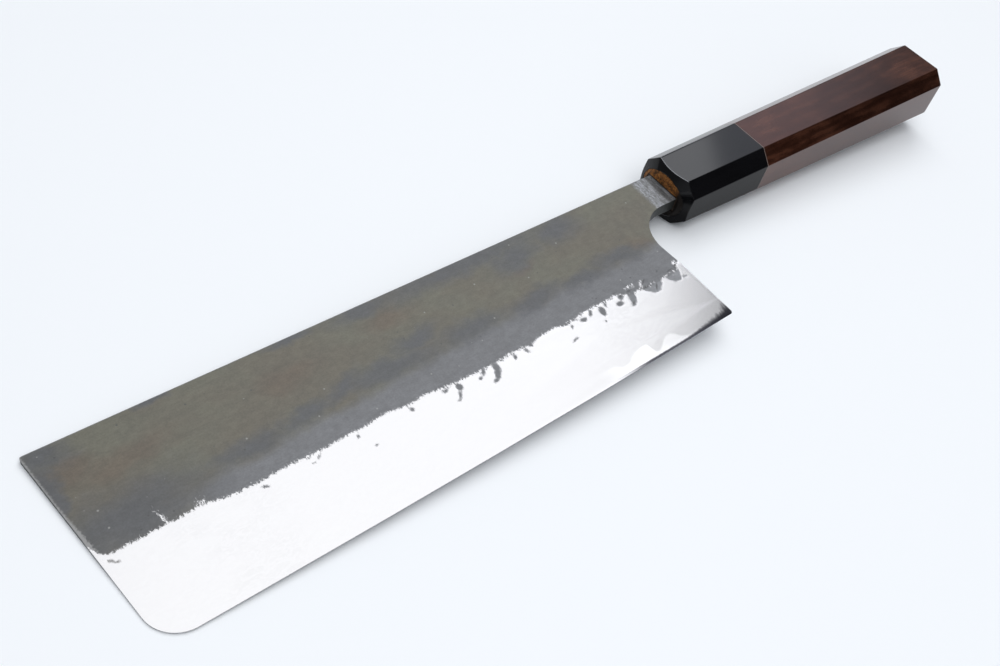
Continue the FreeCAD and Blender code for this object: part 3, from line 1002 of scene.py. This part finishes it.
def smoothPiece(node, finish, change=None):
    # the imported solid, its rounded rims shaded smooth
    mesh = nodes[node].data.copy()
    shell = bmesh.new()
    shell.from_mesh(mesh)
    bmesh.ops.remove_doubles(shell, verts=shell.verts, dist=smoothing["join"])
    bmesh.ops.dissolve_limit(shell, angle_limit=smoothing["flatAngle"], verts=shell.verts, edges=shell.edges)
    if change:
        change(shell)
    for face in shell.faces:
        face.smooth = True
    for edge in shell.edges:
        edge.smooth = edge.calc_face_angle(math.pi) < smoothing["creaseAngle"]
    shell.to_mesh(mesh)
    shell.free()
    mesh.materials.clear()
    mesh.materials.append(finish)
    piece = bpy.data.objects.new("smooth_" + node, mesh)
    scene.collection.objects.link(piece)
    piece.modifiers.new("normals", "WEIGHTED_NORMAL").keep_sharp = True
    settle(piece)
    turnNormals(piece.data)
    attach(piece, "root")
    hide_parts(node)
    print(piece.name, len(piece.data.vertices), "points")


def hornFinish():
    material, shader, place = newFinish("black horn")
    along, up, out = place.parts()
    normal = place.make("ShaderNodeNewGeometry", (), (), "True Normal")
    onNose = normal.dot(alongKnife).ease(*horn["noseLean"], 1.0, 0.0)
    onFlat = normal.dot(outOfFace).math("ABSOLUTE").ease(*horn["flatLean"])
    fromRim = along - ((up * up + out * out).math("SQRT") - horn["noseRadius"]) * horn["noseSlope"]
    # wear and a painted highlight along the rim of the nose
    worn = fromRim.ease(0.0, horn["rimWearAndHighlightWidth"], 1.0, 0.0) * onFlat * (1 - onNose)
    colour = place.noise(**horn["cloud"]).mixColour(horn["colour"], horn["streak"])
    dullNose = onNose * out.ease(*horn["underNose"], 1.0 - horn["dullNose"], 0.0)
    polish = (1 - dullNose) * normal.dot(towardsSpine).ease(*horn["sideLean"], horn["dullSide"], 1.0)
    setShader(shader, {
        "Base Color": worn.mixColour(colour, horn["rimWearAndHighlight"]),
        "Roughness": place.noise(**horn["rubbing"]).ease(*horn["underRoughness"]),
        "Coat Weight": polish,
        "Coat Roughness": horn["roughness"],
        "Coat IOR": horn["polish"],
        "Specular IOR Level": 0.0,
    })
    return material


def woodFinish():
    material, shader, place = newFinish("oiled rosewood")
    across = place.vector("MULTIPLY", (0.0, 1.0, 1.0))
    fromPith = across.vector("SUBTRACT", rosewood["pith"]).vector("ADD", place.wander(**rosewood["bend"]))
    rings = fromPith.vector("LENGTH", out="Value") / rosewood["ring"]
    ringTone = (rings * (2 * math.pi)).math("SINE").ease(-1.0, 1.0) * rosewood["ringShare"]
    fibre = place.noise(**rosewood["fibre"])
    pores = place.noise(**rosewood["pores"]).ease(*rosewood["poreEdge"])
    cloud = place.noise(**rosewood["cloud"])
    tone = ringTone + cloud * rosewood["cloudShare"] + fibre * rosewood["fibreShare"]
    stops = [(0.0, rosewood["dark"][:3]), (0.5, rosewood["middle"][:3]), (1.0, rosewood["light"][:3])]
    colour = tone.make("ShaderNodeValToRGB", {"stops": stops}, {"Fac": tone.ease(*rosewood["toneEdge"])})
    colour = (pores * rosewood["poreDark"]).mixColour(colour, rosewood["dark"])
    along = place.parts()[0]
    normal = place.make("ShaderNodeNewGeometry", (), (), "True Normal")
    onFlat = normal.dot(outOfFace).math("ABSOLUTE").ease(*rosewood["flatLean"])
    # painted sheen: lighter next to the ferrule
    front = along.ease(*rosewood["frontEnd"], rosewood["paintedSheenFront"], 1.0)
    butt = along.ease(*rosewood["buttStart"]) * onFlat * rosewood["paleButt"]
    height = fibre * rosewood["fibreBump"] - pores
    setShader(shader, {
        "Base Color": shaded(colour, front + butt),
        "Roughness": fibre.ease(*rosewood["roughness"]) + pores * rosewood["poreRough"],
        "Normal": bumped(height, rosewood["bumpStrength"], rosewood["bumpDepth"]),
        "Specular IOR Level": rosewood["gloss"],
        "Specular Tint": rosewood["tint"],
    })
    return material


def dowelFinish():
    material, shader, place = newFinish("stained dowel")
    _, up, out = place.parts()
    mottle = place.noise(**dowelWood["mottle"])
    tone = mottle * dowelWood["mottleShare"] + place.noise(**dowelWood["fibre"]) * dowelWood["fibreShare"]
    # painted shade: darker under the neck and behind it
    tone = tone.ease(*dowelWood["toneEdge"]) * up.ease(*dowelWood["paintedShadeBelow"])
    tone = tone * out.ease(*dowelWood["paintedShadeBehind"])
    setShader(shader, {
        "Base Color": tone.mixColour(dowelWood["dark"], dowelWood["light"]),
        "Roughness": mottle.ease(*dowelWood["roughness"]),
        "Specular IOR Level": dowelWood["gloss"],
        "Normal": bumped(mottle, dowelWood["bumpStrength"], dowelWood["bumpDepth"]),
    })
    return material


def plainFinish(name, look):
    # resin and glue: slightly cloudy
    material, shader, place = newFinish(name)
    cloud = place.noise(**cloudy)
    setShader(shader, {
        "Base Color": cloud.mixColour(look["dark"], look["light"]),
        "Roughness": cloud.ease(*look["roughness"]),
    })
    return material


def finishHandle():
    finishes = {
        "dowel": dowelFinish(),
        "tang_bedding": plainFinish("bedding resin", resin),
        "glue_line": plainFinish("glue film", glue),
    }
    for node, material in finishes.items():
        for slot in nodes[node].material_slots:
            slot.material = material
    smoothPiece("ferrule", hornFinish(), easeNose)
    smoothPiece("handle_body", woodFinish())
    print("handle finished")


setCamera()
setFloor()
setLight()
makeBlade({"core_steel": bladeFinish("polished core"), "cladding_steel": bladeFinish("forged cladding")})
finishHandle()
